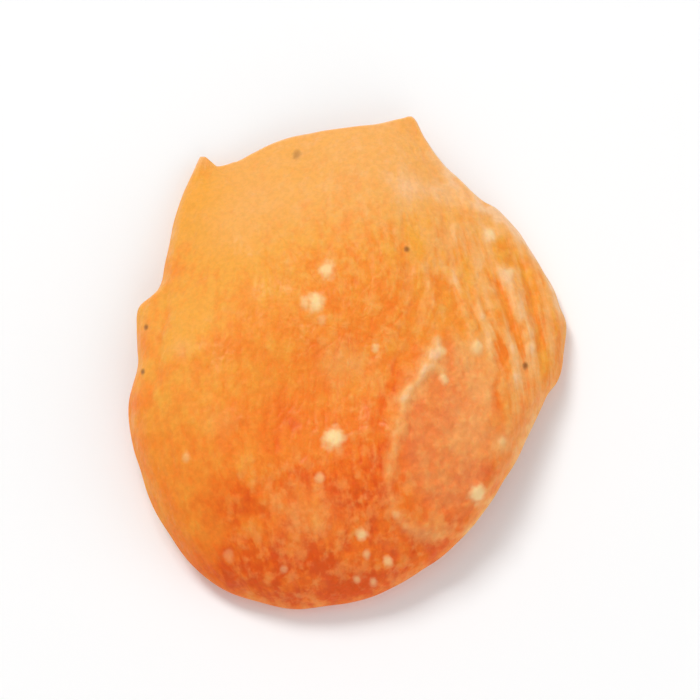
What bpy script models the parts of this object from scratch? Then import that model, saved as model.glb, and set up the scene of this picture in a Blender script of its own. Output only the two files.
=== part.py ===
"""A dried apricot half, lying on its cut side with the skin up.

Metres, +Z up. +Y runs from the round blossom end to the straight torn edge at the stem end.
The origin is the middle of the underside of the bounding box, on the surface that the fruit lies on.
"""

import math

import bmesh
import bpy
import numpy as np
from mathutils import Vector, noise

MM = 0.001

# Driving dimensions, in millimetres.
DOME_RISE = 5.6  # the skin's middle over its rim
FLESH = 4.0  # how much thicker the flesh is in its middle than at its rim
MIDDLE_HALF = 1.4  # half the thickness in the middle, before that flesh is added
PLAIN_HALF = (17.8, 20.8)  # half sizes of the oval nearest to the outline
DOME_FULLNESS = 2.4  # 2 is a plain dome, and more is flatter on top and steeper at the rim
STONE_HOLLOW = 1.3  # depth of the print that the stone left in the flesh

# How finely the fruit is divided: meridians, and rings from the rim to the middle of each side.
SEGMENTS = 127
SKIN_RINGS = 31
FLESH_RINGS = 15
RINGS_DRAWN_OUT = 0.7  # 0 spaces the rings evenly and 1 crowds them at the rim, as on a sphere

# The outline seen from above, anticlockwise from the right.
OUTLINE = (
    (18.1, 2.4),
    (17.7, 4.4),
    (16.8, 6.8),
    (14.4, 11.0),
    (12.6, 13.0),
    (11.2, 13.8),
    (8.2, 16.7),
    (6.5, 19.1),
    (5.5, 21.1),
    (4.4, 21.0),
    (1.8, 20.4),
    (-2.6, 19.95),
    (-6.4, 19.2),
    (-9.2, 17.85),
    (-11.4, 17.35),
    (-12.1, 17.75),
    (-12.7, 18.35),
    (-13.2, 17.5),
    (-14.6, 13.4),
    (-15.4, 8.8),
    (-15.9, 5.8),
    (-17.6, 3.9),
    (-17.5, 0.6),
    (-17.5, -2.0),
    (-18.1, -5.3),
    (-17.2, -9.4),
    (-15.3, -14.2),
    (-11.6, -18.9),
    (-6.4, -21.1),
    (-1.6, -21.2),
    (3.4, -19.8),
    (9.1, -15.8),
    (13.4, -9.6),
    (16.1, -4.0),
    (17.3, -1.9),
)
SPAN_STEPS = 12  # points read from each span of the outline
# Degrees over which the dome smooths the outline's corners, which stand out of it as thin flaps: reach, step
# and half width of the weights.
SOFT_TURN = (20, 5, 12.5)

# Around the rim, as (degrees from +X, value): its lift, half its thickness, how much of that the skin's edge
# takes to turn over, and its fullness.
RIM_LIFT = ((22, 0.0), (82, 2.2), (138, 0.0), (194, 1.3), (256, 0.0), (316, 1.5))
RIM_HALF = ((0, 1.3), (48, 1.05), (64, 0.70), (120, 0.65), (140, 1.15), (230, 1.7), (310, 1.6))
RIM_EDGE = ((0, 0.9), (48, 0.7), (64, 0.5), (122, 0.5), (142, 0.9), (230, 1.7), (310, 1.5))
RIM_FULLNESS = ((90, 2.0), (200, 2.9), (270, 3.0), (350, 2.3))
RIM_ROLL = (2.1, 1.3, 0.85)  # the roll under the rim: distance in from the outline, half width and depth

# Shares of the way from the middle to the rim between which the middle's plain form passes into the rim's.
OUTWARD = (0.15, 0.9)
PLUMP = (0.04, 0.75)  # shares of the way from the rim to the middle between which the flesh grows thicker
RELIEF_FADE = 1.0  # millimetres in from the rim over which the folds fade

# Where the fruit touches what it lies on, in degrees from +X, and how wide each place is looked for.
FEET = (22, 138, 256)
FOOT_REACH = 28
FOOT_PRESS = 0.3  # how far each is pressed flat

# Places on the skin are counted as a slanted view from the front shows them: what is higher looks further back.
VIEW_SLANT = 0.364
RIM_LEVEL = 1.5

# Broad swells and dents of the skin: x, y, reach and height.
SWELLS = (
    (-9.0, -9.5, 6.5, 0.55),
    (-9.0, 8.0, 5.5, 0.30),
    (-4.5, -3.2, 3.8, -0.45),
    (1.2, -2.4, 3.0, -0.30),
    (1.5, 7.0, 4.5, 0.45),
    (-2.0, -14.0, 4.2, 0.40),
    (-9.8, -14.8, 2.6, -0.30),
    (-13.0, 1.0, 2.8, 0.30),
    (12.0, -13.0, 3.0, 0.30),
)

# The roll along the right-hand rim, the valley inside it, and the pleats that fan out beside it.
RIM_ROLL_LINE = ((6.9, 18.6), (9.0, 15.8), (11.3, 13.4), (13.4, 11.2), (15.0, 9.2), (16.6, 6.4), (17.4, 3.0))
STRIP_VALLEY = ((12.6, 10.8), (13.6, 9.4), (14.5, 7.9), (15.0, 6.0), (15.5, 3.4), (16.0, 0.4), (15.8, -2.4))
FIRST_PLEAT = ((12.6, 8.6), (13.2, 7.4), (13.4, 6.2), (14.1, 4.2), (14.9, 2.2), (15.2, 0.0), (15.0, -2.0))
FIRST_VALLEY = ((11.6, 8.0), (12.3, 6.4), (12.9, 4.4), (13.7, 2.4), (14.3, 0.0))
SECOND_PLEAT = ((10.9, 7.6), (11.6, 6.0), (12.1, 4.6), (12.8, 2.8), (13.3, 0.9), (13.6, -1.4), (13.2, -3.6))
THIRD_PLEAT = ((10.0, 7.6), (10.5, 5.6), (11.1, 3.6), (11.6, 1.6), (11.7, -0.8))
FOURTH_PLEAT = ((8.0, 8.6), (8.5, 6.4), (9.3, 4.4), (9.8, 2.2), (9.9, 0.2))
FIFTH_PLEAT = ((5.8, 8.8), (6.4, 7.0), (6.8, 5.2), (7.1, 3.4))
# The lip of the sunken oval, its foot, and the groove and the bank to its left.
OVAL_LIP = (
    (7.3, 2.6),
    (7.2, 0.9),
    (6.4, -0.6),
    (4.9, -2.4),
    (4.1, -5.0),
    (3.5, -7.8),
    (3.2, -10.2),
    (3.4, -12.8),
)
OVAL_FOOT = ((3.2, -10.2), (3.4, -12.8), (4.8, -14.5), (7.2, -14.9), (9.6, -13.9))
OVAL_GROOVE = ((5.9, 3.6), (5.2, 1.4), (3.9, -0.6), (3.1, -2.8), (2.6, -5.2), (2.3, -8.0), (2.4, -12.2))
OVAL_BANK = ((5.2, 6.4), (4.3, 3.4), (2.9, 1.2), (2.0, -1.2), (1.5, -4.4), (1.3, -8.0))
INNER_GROOVE = ((11.6, 2.4), (12.0, -0.6), (12.1, -3.0), (12.0, -5.6))
LEFT_GROOVE = ((-15.2, 6.9), (-15.5, 2.7), (-15.8, -0.4), (-16.3, -4.0))

# Folds of the skin: height, half width and the line that each one follows.
FOLDS = (
    (0.28, 0.75, RIM_ROLL_LINE),
    (-0.42, 0.60, STRIP_VALLEY),
    (0.40, 0.65, FIRST_PLEAT),
    (-0.20, 0.50, FIRST_VALLEY),
    (0.28, 0.60, SECOND_PLEAT),
    (0.22, 0.60, THIRD_PLEAT),
    (0.20, 0.65, FOURTH_PLEAT),
    (0.15, 0.60, FIFTH_PLEAT),
    (0.34, 0.70, OVAL_LIP),
    (0.14, 0.75, OVAL_FOOT),
    (-0.24, 0.80, OVAL_GROOVE),
    (0.14, 0.70, OVAL_BANK),
    (-0.20, 0.60, INNER_GROOVE),
    (-0.36, 0.60, LEFT_GROOVE),
    # Long soft creases over the crown.
    (-0.12, 0.95, ((-7.6, 17.0), (-6.0, 10.0), (-5.2, 4.0), (-5.6, -1.0))),
    (-0.18, 0.90, ((-11.8, 13.6), (-10.8, 6.0), (-11.2, -1.0), (-11.6, -8.0))),
    (-0.12, 0.90, ((-0.4, 16.8), (0.6, 11.0), (-0.4, 5.0), (-1.2, 0.6))),
    (-0.24, 0.90, ((-6.2, -8.0), (-5.4, -12.0), (-4.6, -15.6), (-4.2, -18.6))),
    (-0.24, 0.85, ((0.4, -10.6), (0.6, -14.0), (-0.4, -17.4))),
)
FOLD_FADE = 0.22  # the share of its length over which each fold fades at both ends

# The sunken oval near the lower right, whose side runs out between two shares of its size.
OVAL_CENTRE = (8.2, -6.2)
OVAL_HALF = (5.0, 8.6)
OVAL_DEPTH = 0.5
OVAL_SIDE = (0.35, 1.0)
OVAL_FADE = (9.0, 13.5)  # the places to the right between which it fades out

# The finest unevenness that the whole skin has: height, and its reach across and along the fruit.
RIPPLE = (0.16, 2.4, 5.5)

# The cut side: the print of the stone, its lip, and the folds that run from it to the rim.
HOLLOW_CENTRE = (-0.6, 0.8)
HOLLOW_HALF = (7.6, 10.6)
HOLLOW_SIDE = (0.35, 1.05)  # shares of its size between which its side runs out
HOLLOW_LIP = (1.12, 0.16, 0.35)  # place and half width as shares of its size, and height
FLESH_FOLDS = 17
FLESH_FOLD_HEIGHT = 0.24
FLESH_FOLD_START = (0.4, 0.65)  # shares of the way to the rim over which the folds rise
FLESH_FOLD_END = (0.86, 0.97)  # and over which they fade
FLESH_FOLD_SWAY = 3.0  # how far they sway, in radians of their wave
FLESH_FOLD_REACH = 9.0  # the sway's own reach

# Which part of the noise each unevenness is read from.
RIPPLE_NOISE = 7.0
SWAY_NOISE = 11.0

SKIN_COLOUR = (0.86, 0.33, 0.06, 1.0)
SKIN_ROUGHNESS = 0.45


def around(angles, keys):
    """Values that pass smoothly round the fruit from one (degrees, value) key to the next."""
    degrees = np.degrees(angles) % 360
    starts = np.array([key[0] for key in keys])
    values = np.array([key[1] for key in keys])
    spans = (np.roll(starts, -1) - starts) % 360
    place = (np.searchsorted(starts, degrees, side="right") - 1) % len(keys)
    share = ((degrees - starts[place]) % 360) / spans[place]
    return values[place] + (np.roll(values, -1)[place] - values[place]) * smooth_step(share, 0, 1)


def outline_radius(angles):
    """Distance from the middle to the outline in each direction, on a smooth closed curve through OUTLINE."""
    points = np.array(OUTLINE)
    before, after, beyond = (np.roll(points, shift, axis=0) for shift in (1, -1, -2))
    curve = []
    for share in np.arange(SPAN_STEPS) / SPAN_STEPS:
        curve.append(
            points
            + 0.5 * share * (after - before)
            + share**2 * (before - 2.5 * points + 2 * after - 0.5 * beyond)
            + share**3 * (1.5 * (points - after) + 0.5 * (beyond - before))
        )
    curve = np.stack(curve, axis=1).reshape(-1, 2)
    turns = np.arctan2(curve[:, 1], curve[:, 0])
    order = np.argsort(turns)
    return np.interp(angles, turns[order], np.hypot(*curve[order].T), period=2 * math.pi)


def soft_radius(angles):
    """Distance to the outline with its corners smoothed away."""
    reach, step, width = SOFT_TURN
    turns = np.arange(-reach, reach + step, step)
    weights = bell(turns, width)
    radii = (weight * outline_radius(angles + turn) for weight, turn in zip(weights, np.radians(turns)))
    return sum(radii) / weights.sum()


def smooth_step(values, low, high):
    """0 below low, 1 above high and a smooth rise between."""
    share = np.clip((values - low) / (high - low), 0, 1)
    return share * share * (3 - 2 * share)


def bell(values, width):
    return np.exp(-((values / width) ** 2))


def noise_at(x, y, z=0.0):
    """Smooth noise from -1 to 1, at points given as arrays of equal length."""
    return np.array([noise.noise(Vector((a, b, z))) for a, b in zip(x, y)])


def from_line(x, y, line):
    """(distance from a line, share of the line's length that is passed there) of each point."""
    line = np.array(line)
    lengths = np.hypot(*np.diff(line, axis=0).T)
    passed = np.concatenate(([0], np.cumsum(lengths)))
    distance = np.full_like(x, np.inf)
    along = np.zeros_like(x)
    for start, end, length, before in zip(line, line[1:], lengths, passed):
        step = (end - start) / length
        reach = np.clip((x - start[0]) * step[0] + (y - start[1]) * step[1], 0, length)
        away = np.hypot(x - start[0] - reach * step[0], y - start[1] - reach * step[1])
        along = np.where(away < distance, (before + reach) / passed[-1], along)
        distance = np.minimum(distance, away)
    return distance, along


def skin_relief(x, y):
    """Height of the swells, the oval and the folds over the plain dome."""
    ripple, across, along = RIPPLE
    height = ripple * noise_at(x / across, y / along, RIPPLE_NOISE)
    for middle_x, middle_y, reach, rise in SWELLS:
        height += rise * bell(np.hypot(x - middle_x, y - middle_y), reach)
    reach = np.hypot((x - OVAL_CENTRE[0]) / OVAL_HALF[0], (y - OVAL_CENTRE[1]) / OVAL_HALF[1])
    height -= OVAL_DEPTH * (1 - smooth_step(reach, *OVAL_SIDE)) * (1 - smooth_step(x, *OVAL_FADE))
    for rise, width, line in FOLDS:
        distance, passed = from_line(x, y, line)
        ends = smooth_step(passed, 0, FOLD_FADE) * (1 - smooth_step(passed, 1 - FOLD_FADE, 1))
        height += rise * ends * bell(distance, width)
    return height


def flesh_relief(x, y, share, angles):
    """Height of the stone's print and of the folds on the cut side, counted up into the flesh."""
    reach = np.hypot((x - HOLLOW_CENTRE[0]) / HOLLOW_HALF[0], (y - HOLLOW_CENTRE[1]) / HOLLOW_HALF[1])
    hollow = STONE_HOLLOW * (1 - smooth_step(reach, *HOLLOW_SIDE))
    lip_place, lip_width, lip_height = HOLLOW_LIP
    lip = lip_height * bell(reach - lip_place, lip_width)
    sway = FLESH_FOLD_SWAY * noise_at(x / FLESH_FOLD_REACH, y / FLESH_FOLD_REACH, SWAY_NOISE)
    folded = smooth_step(share, *FLESH_FOLD_START) * (1 - smooth_step(share, *FLESH_FOLD_END))
    return hollow - lip + FLESH_FOLD_HEIGHT * np.cos(FLESH_FOLDS * angles + sway) * folded


def rounded(inward, width):
    """0 at the rim, rising as a quarter circle does to 1 at width from it."""
    return np.sqrt(np.clip(1 - (1 - np.minimum(inward, width) / width) ** 2, 0, 1))


def surface_heights(x, y, share, radius, angles):
    """(skin height, cut side height) of each point.

    The dome is a plain oval at its top, and has the outline with its corners smoothed at its foot.
    """
    inward = radius * (1 - share)
    outward = smooth_step(share, *OUTWARD)
    lift = around(angles, RIM_LIFT) * outward
    half = MIDDLE_HALF + (around(angles, RIM_HALF) - MIDDLE_HALF) * outward
    edge = np.minimum(around(angles, RIM_EDGE), half)
    fullness = DOME_FULLNESS + (around(angles, RIM_FULLNESS) - DOME_FULLNESS) * outward
    plain = 1 / np.hypot(np.cos(angles) / PLAIN_HALF[0], np.sin(angles) / PLAIN_HALF[1])
    reach = np.minimum(share * radius / (soft_radius(angles) * outward + plain * (1 - outward)), 1)
    dome = DOME_RISE * (1 - reach**fullness)
    plump = FLESH * smooth_step(1 - reach, *PLUMP)
    roll_place, roll_width, roll_depth = RIM_ROLL
    roll = roll_depth * bell(inward - roll_place, roll_width)
    skin = lift + half * (1 + rounded(inward, edge)) + dome
    flesh = lift + half * (1 - rounded(inward, half)) + dome - plump - roll
    relief = smooth_step(inward, 0.0, RELIEF_FADE)
    seen_y = y + VIEW_SLANT * (skin - RIM_LEVEL)
    return skin + relief * skin_relief(x, seen_y), flesh + relief * flesh_relief(x, y, share, angles)


def ring_share(steps, count):
    """Where ring number steps of count lies between the middle, 0, and the rim, 1."""
    even = steps / count
    return even + RINGS_DRAWN_OUT * (np.sin(even * math.pi / 2) - even)


def fruit_points(ball):
    """Places for a unit sphere's points, its top rings on the skin and its lowest ones on the cut side."""
    angles = np.arctan2(ball[:, 1], ball[:, 0])
    ring = np.round(np.arccos(np.clip(ball[:, 2], -1, 1)) / math.pi * (SKIN_RINGS + FLESH_RINGS))
    on_skin = ring <= SKIN_RINGS
    from_below = SKIN_RINGS + FLESH_RINGS - ring
    share = np.where(on_skin, ring_share(ring, SKIN_RINGS), ring_share(from_below, FLESH_RINGS))
    radius = outline_radius(angles)
    x, y = share * radius * np.cos(angles), share * radius * np.sin(angles)
    skin, flesh = surface_heights(x, y, share, radius, angles)
    return np.stack((x, y, np.where(on_skin, skin, flesh)), axis=1)


def settled(places):
    """The fruit stood level on its three low points, each pressed flat, with its box's middle on the origin."""
    turns = np.degrees(np.arctan2(places[:, 1], places[:, 0]))
    lowest = []
    for foot in FEET:
        near = places[np.abs((turns - foot + 180) % 360 - 180) < FOOT_REACH]
        lowest.append(near[np.argmin(near[:, 2])])
    lowest = np.array(lowest)
    slope_x, slope_y, level = np.linalg.solve(np.column_stack((lowest[:, :2], np.ones(3))), lowest[:, 2])
    places[:, 2] -= slope_x * places[:, 0] + slope_y * places[:, 1] + level + FOOT_PRESS
    places[:, 2] = np.maximum(places[:, 2], 0)
    places[:, :2] -= (places.min(axis=0) + places.max(axis=0))[:2] / 2
    return places


def fruit_material():
    material = bpy.data.materials.new("apricot_skin")
    material.use_nodes = True
    shader = material.node_tree.nodes["Principled BSDF"]
    shader.inputs["Base Color"].default_value = SKIN_COLOUR
    shader.inputs["Roughness"].default_value = SKIN_ROUGHNESS
    shader.inputs["Metallic"].default_value = 0.0
    return material


def make_fruit(collection):
    mesh = bmesh.new()
    bmesh.ops.create_uvsphere(mesh, u_segments=SEGMENTS, v_segments=SKIN_RINGS + FLESH_RINGS, radius=1.0)
    places = settled(fruit_points(np.array([vertex.co for vertex in mesh.verts])))
    for vertex, place in zip(mesh.verts, places):
        vertex.co = Vector(place) * MM
    bmesh.ops.triangulate(mesh, faces=mesh.faces)
    data = bpy.data.meshes.new("dried_apricot")
    mesh.to_mesh(data)
    mesh.free()
    data.shade_smooth()
    data.materials.append(fruit_material())
    collection.objects.link(bpy.data.objects.new("dried_apricot", data))


def main():
    for old in list(bpy.data.objects):
        bpy.data.objects.remove(old)
    collection = bpy.data.collections.new("dried_apricot")
    bpy.context.scene.collection.children.link(collection)
    make_fruit(collection)


main()
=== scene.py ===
"""A dried apricot half on a white table, seen from above.

The fruit is one fine mesh: a sphere whose upper rings are moved onto the skin and whose lowest rings are
moved onto the cut side. It has the form of the CAD solid, with the wrinkles, creases and specks that a solid
can't hold. Lengths in the form are in millimetres, with +X to the right, +Y to the torn stem end and +Z up
out of the skin.
"""

from __future__ import annotations

import logging
import math
from dataclasses import dataclass
from enum import Enum
from typing import Any, Sequence

import bmesh
import bpy
import numpy as np
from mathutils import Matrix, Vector, noise

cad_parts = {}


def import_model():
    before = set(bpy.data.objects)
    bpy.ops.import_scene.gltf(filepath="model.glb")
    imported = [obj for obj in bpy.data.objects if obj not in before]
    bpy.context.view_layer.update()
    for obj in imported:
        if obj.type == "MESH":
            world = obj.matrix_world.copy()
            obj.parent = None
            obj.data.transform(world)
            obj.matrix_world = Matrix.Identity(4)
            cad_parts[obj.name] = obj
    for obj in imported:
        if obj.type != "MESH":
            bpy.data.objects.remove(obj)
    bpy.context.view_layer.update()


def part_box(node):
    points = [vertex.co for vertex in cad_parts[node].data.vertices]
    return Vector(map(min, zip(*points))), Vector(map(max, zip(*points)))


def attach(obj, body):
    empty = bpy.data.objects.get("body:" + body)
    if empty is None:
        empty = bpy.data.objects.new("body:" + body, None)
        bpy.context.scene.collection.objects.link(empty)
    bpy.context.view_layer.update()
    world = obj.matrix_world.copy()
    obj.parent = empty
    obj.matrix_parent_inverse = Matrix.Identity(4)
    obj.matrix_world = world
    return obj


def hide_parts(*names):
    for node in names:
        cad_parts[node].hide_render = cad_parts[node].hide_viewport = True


LOG = logging.getLogger("dried_apricot")

MM = 0.001
NODE = "dried_apricot"
BODY = "root"

Array = np.ndarray
Colour = tuple[float, float, float, float]


class Field(str, Enum):
    """Names of the values that the mesh carries for its material."""

    TONE = "tone"
    PALE = "pale"
    OVAL = "oval"
    CUT = "cut"
    FLOW = "flow"
    CREST = "crest"
    GRAINY = "grainy"
    SPOTTED = "spotted"
    STREAKED = "streaked"
    ACROSS = "across"
    ALONG = "along"


@dataclass(frozen=True)
class Patch:
    """A soft round patch of the surface.

    Attributes:
        x, y: its middle.
        reach: distance at which it has mostly faded.
        amount: height in millimetres, or a share of a colour change.
    """

    x: float
    y: float
    reach: float
    amount: float

    def at(self, x: Array, y: Array) -> Array:
        """Args: x, y: places. Returns: the patch's amount at each."""
        return self.amount * bell(np.hypot(x - self.x, y - self.y), self.reach)


@dataclass(frozen=True)
class Fold:
    """A ridge or groove of the skin along a line.

    Attributes:
        height: over the skin round it; below zero for a groove.
        width: half width.
        line: the points that it passes through.
        sharpness: 2 for a soft round fold, and less for one with a sharp crest.
    """

    height: float
    width: float
    line: tuple[tuple[float, float], ...]
    sharpness: float = 2.0

    def at(self, x: Array, y: Array) -> Array:
        """Args: x, y: places. Returns: the fold's height at each."""
        distance, passed = from_line(x, y, self.line)
        ends = smooth_step(passed, 0, FOLD_FADE) * (1 - smooth_step(passed, 1 - FOLD_FADE, 1))
        return self.height * ends * np.exp(-((distance / self.width) ** self.sharpness))


@dataclass(frozen=True)
class Zone:
    """A part of the skin that runs out softly.

    Attributes:
        rises: (x, y, start, end): how much each counts in a sum, and between which sums it rises from 0 to 1.
    """

    rises: tuple[tuple[float, float, float, float], ...]

    def at(self, x: Array, y: Array) -> Array:
        """Args: x, y: places. Returns: how much each belongs to the zone, 0 to 1."""
        return math.prod(smooth_step(by_x * x + by_y * y, start, end) for by_x, by_y, start, end in self.rises)


@dataclass(frozen=True)
class Relief:
    """One kind of fine relief, in millimetres.

    Attributes:
        all_over: its height on the whole skin; below zero for creases.
        right, low, oval: what is added on the right, at the blossom end and in the sunken oval.
        across, along: how far apart its forms are.
        width: half width of its creases, for creases.
    """

    all_over: float
    right: float
    low: float
    oval: float
    across: float
    along: float
    width: float = 0.0

    def height(self, right: Array, low: Array, oval: Array) -> Array:
        """Args: right, low, oval: how much each place belongs to them. Returns: the relief's height."""
        return self.all_over + self.right * right + self.low * low + self.oval * oval


# The form, as the solid has it: the skin's middle over its rim, how much thicker the middle's flesh is, half
# the thickness without that, half sizes of the oval nearest to the outline, how full the dome is (2 is a plain
# one), and the depth of the stone's print.
DOME_RISE = 5.6
FLESH = 4.0
MIDDLE_HALF = 1.4
PLAIN_HALF = (17.8, 20.8)
DOME_FULLNESS = 2.4
STONE_HOLLOW = 1.3
# The outline seen from above, anticlockwise from the right.
OUTLINE = (
    (18.1, 2.4), (17.7, 4.4), (16.8, 6.8), (14.4, 11.0), (12.6, 13.0), (11.2, 13.8), (8.2, 16.7),
    (6.5, 19.1), (5.5, 21.1), (4.4, 21.0), (1.8, 20.4), (-2.6, 19.95), (-6.4, 19.2), (-9.2, 17.85),
    (-11.4, 17.35), (-12.1, 17.75), (-12.7, 18.35), (-13.2, 17.5), (-14.6, 13.4), (-15.4, 8.8), (-15.9, 5.8),
    (-17.6, 3.9), (-17.5, 0.6), (-17.5, -2.0), (-18.1, -5.3), (-17.2, -9.4), (-15.3, -14.2), (-11.6, -18.9),
    (-6.4, -21.1), (-1.6, -21.2), (3.4, -19.8), (9.1, -15.8), (13.4, -9.6), (16.1, -4.0), (17.3, -1.9),
)
# Points read from each span of the outline, and the degrees over which the dome smooths its corners: reach,
# step and half width of the weights.
SPAN_STEPS = 12
SOFT_TURN = (20, 5, 12.5)
# Around the rim, as (degrees from +X, value): its lift, half its thickness, the way that the skin takes to
# turn over, its fullness, and how torn it is.
RIM_LIFT = ((22, 0.0), (82, 2.2), (138, 0.0), (194, 1.3), (256, 0.0), (316, 1.5))
RIM_HALF = ((0, 1.3), (48, 1.05), (64, 0.70), (120, 0.65), (140, 1.15), (230, 1.7), (310, 1.6))
RIM_EDGE = ((0, 0.9), (48, 0.6), (64, 0.4), (122, 0.4), (142, 0.9), (230, 1.7), (310, 1.5))
RIM_FULLNESS = ((90, 2.0), (200, 2.9), (270, 3.0), (350, 2.3))
RIM_TORN = ((40, 0.2), (60, 1.0), (118, 1.0), (130, 0.3), (160, 0.2), (200, 0.0))
# The roll under the rim: distance in from the outline, half width and depth.
RIM_ROLL = (2.1, 1.3, 0.85)
# Shares of the way out over which the middle's plain form passes into the rim's, and of the way back over
# which the flesh grows thicker, and the millimetres in from the rim over which the relief fades.
OUTWARD = (0.15, 0.9)
PLUMP = (0.04, 0.75)
RELIEF_FADE = 1.0
# The rim's crimped edge (height and grain), its thin lip and the groove under it (height, place, half width).
CRIMP = (0.16, 7)
EDGE_LIP = (0.14, -0.10, 0.28)
EDGE_GROOVE = (-0.16, 0.75, 0.40)
# Places on the skin are counted as the slanted view from the front shows them: what is higher looks further
# back.
VIEW_SLANT = 0.364
RIM_LEVEL = 1.5
FEET = (22, 138, 256)
FOOT_REACH = 28
FOOT_PRESS = 0.3
OVAL_CENTRE = (8.2, -6.2)
OVAL_HALF = (5.0, 8.6)
OVAL_DEPTH = 0.45
OVAL_SIDE = (0.35, 1.0)
OVAL_FADE = (9.0, 13.5)
# The finest unevenness that the solid has too: height, and its reach across and along the fruit.
RIPPLE = (0.16, 2.4, 5.5)
# The skin's grain runs from end to end as on a long oval of this half length. It parts round the sunken oval
# by this share, over this reach in sizes of the oval.
GRAIN_HALF_LENGTH = 26
GRAIN_PARTING = (0.75, 1.2)
# The cut side: the print of the stone, the shares of its size over which its side runs out, its lip (place
# and half width as shares of its size, and height), its seam (depth, half width), and the folds round it.
HOLLOW_CENTRE = (-0.6, 0.8)
HOLLOW_HALF = (7.6, 10.6)
HOLLOW_SIDE = (0.35, 1.05)
HOLLOW_LIP = (1.12, 0.16, 0.35)
HOLLOW_SEAM = (0.35, 0.5)
SEAM_REACH = 1.1
FLESH_FOLDS = 17
FLESH_FOLD_HEIGHT = 0.24
FLESH_FOLD_START = (0.4, 0.65)
FLESH_FOLD_END = (0.86, 0.97)
FLESH_FOLD_SWAY = (3, 9)
# The share of its length over which each fold fades at both ends.
FOLD_FADE = 0.22

# Broad swells and dents of the skin.
SWELLS = (
    Patch(-9.0, -9.5, 6.5, 0.55),
    Patch(-9.0, 8.0, 5.5, 0.30),
    Patch(-4.5, -3.2, 3.8, -0.45),
    Patch(1.2, -2.4, 3.0, -0.30),
    Patch(1.5, 7.0, 4.5, 0.45),
    Patch(-2.0, -14.0, 4.2, 0.40),
    Patch(-9.8, -14.8, 2.6, -0.30),
    Patch(-13.0, 1.0, 2.8, 0.30),
    Patch(12.0, -13.0, 3.0, 0.30),
)

# The roll along the right-hand rim, the valley inside it, and the pleats that fan out beside it.
RIM_ROLL_LINE = ((6.9, 18.6), (9.0, 15.8), (11.3, 13.4), (13.4, 11.2), (15.0, 9.2), (16.6, 6.4), (17.4, 3.0))
STRIP_VALLEY = ((12.6, 10.8), (13.6, 9.4), (14.5, 7.9), (15.0, 6.0), (15.5, 3.4), (16.0, 0.4), (15.8, -2.4))
FIRST_PLEAT = ((12.6, 8.6), (13.2, 7.4), (13.4, 6.2), (14.1, 4.2), (14.9, 2.2), (15.2, 0.0), (15.0, -2.0))
FIRST_VALLEY = ((11.6, 8.0), (12.3, 6.4), (12.9, 4.4), (13.7, 2.4), (14.3, 0.0))
SECOND_PLEAT = ((10.9, 7.6), (11.6, 6.0), (12.1, 4.6), (12.8, 2.8), (13.3, 0.9), (13.6, -1.4), (13.2, -3.6))
THIRD_PLEAT = ((10.0, 7.6), (10.5, 5.6), (11.1, 3.6), (11.6, 1.6), (11.7, -0.8))
FOURTH_PLEAT = ((8.0, 8.6), (8.5, 6.4), (9.3, 4.4), (9.8, 2.2), (9.9, 0.2))
FIFTH_PLEAT = ((5.8, 8.8), (6.4, 7.0), (6.8, 5.2), (7.1, 3.4))
# The lip of the sunken oval, its foot, and the groove and the bank to its left.
OVAL_FOOT = ((3.2, -10.2), (3.4, -12.8), (4.8, -14.5), (7.2, -14.9), (9.6, -13.9))
OVAL_LIP = ((7.3, 2.6), (7.2, 0.9), (6.4, -0.6), (4.9, -2.4), (4.1, -5.0), (3.5, -7.8)) + OVAL_FOOT[:2]
OVAL_GROOVE = ((5.9, 3.6), (5.2, 1.4), (3.9, -0.6), (3.1, -2.8), (2.6, -5.2), (2.3, -8.0), (2.4, -12.2))
OVAL_BANK = ((5.2, 6.4), (4.3, 3.4), (2.9, 1.2), (2.0, -1.2), (1.5, -4.4), (1.3, -8.0))
OVAL_BAND = ((7.1, 1.2), (6.6, -0.4), (5.5, -1.6), (4.7, -3.0), (4.2, -4.8))
OVAL_STREAK = ((7.2, 2.6), (7.4, 0.6), (7.6, -2.2))
INNER_GROOVE = ((11.6, 2.4), (12.0, -0.6), (12.1, -3.0), (12.0, -5.6))
LEFT_GROOVE = ((-15.2, 6.9), (-15.5, 2.7), (-15.8, -0.4), (-16.3, -4.0))
# A crack by the right-hand rim, and the pale bands along it.
RIM_CRACK = ((8.6, 16.2), (9.6, 15.0), (10.6, 13.9))
RIM_TURN = ((16.2, 8.0), (17.4, 4.6), (17.8, 1.8))
RIM_BAND = ((5.8, 20.4), (7.4, 18.2), (9.6, 15.6), (12.0, 13.4), (14.2, 11.0)) + RIM_TURN
LOWER_RIM = ((15.8, -3.6), (14.2, -7.6), (12.4, -11.4), (9.6, -15.0), (6.6, -17.6))


def beside(line: Sequence[tuple[float, float]], shift: float) -> tuple[tuple[float, float], ...]:
    """Args: line: its points; shift: millimetres to its left. Returns: the line moved sideways."""
    points = np.array(line)
    steps = np.gradient(points, axis=0)
    sideways = np.column_stack((-steps[:, 1], steps[:, 0])) / np.hypot(*steps.T)[:, None]
    return tuple((float(x), float(y)) for x, y in points + shift * sideways)


FOLDS = (
    Fold(0.28, 0.70, RIM_ROLL_LINE),
    Fold(-0.24, 0.52, STRIP_VALLEY),
    Fold(0.22, 0.60, FIRST_PLEAT),
    Fold(-0.10, 0.42, FIRST_VALLEY),
    Fold(0.15, 0.50, SECOND_PLEAT),
    Fold(0.12, 0.48, THIRD_PLEAT),
    Fold(0.12, 0.50, FOURTH_PLEAT),
    Fold(0.10, 0.46, FIFTH_PLEAT),
    Fold(0.22, 0.60, OVAL_LIP),
    Fold(0.12, 0.60, OVAL_BAND),
    Fold(0.08, 0.70, OVAL_FOOT),
    Fold(-0.20, 0.70, OVAL_GROOVE),
    Fold(0.08, 0.55, OVAL_BANK),
    Fold(-0.36, 0.52, LEFT_GROOVE, 1.7),
)

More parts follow.
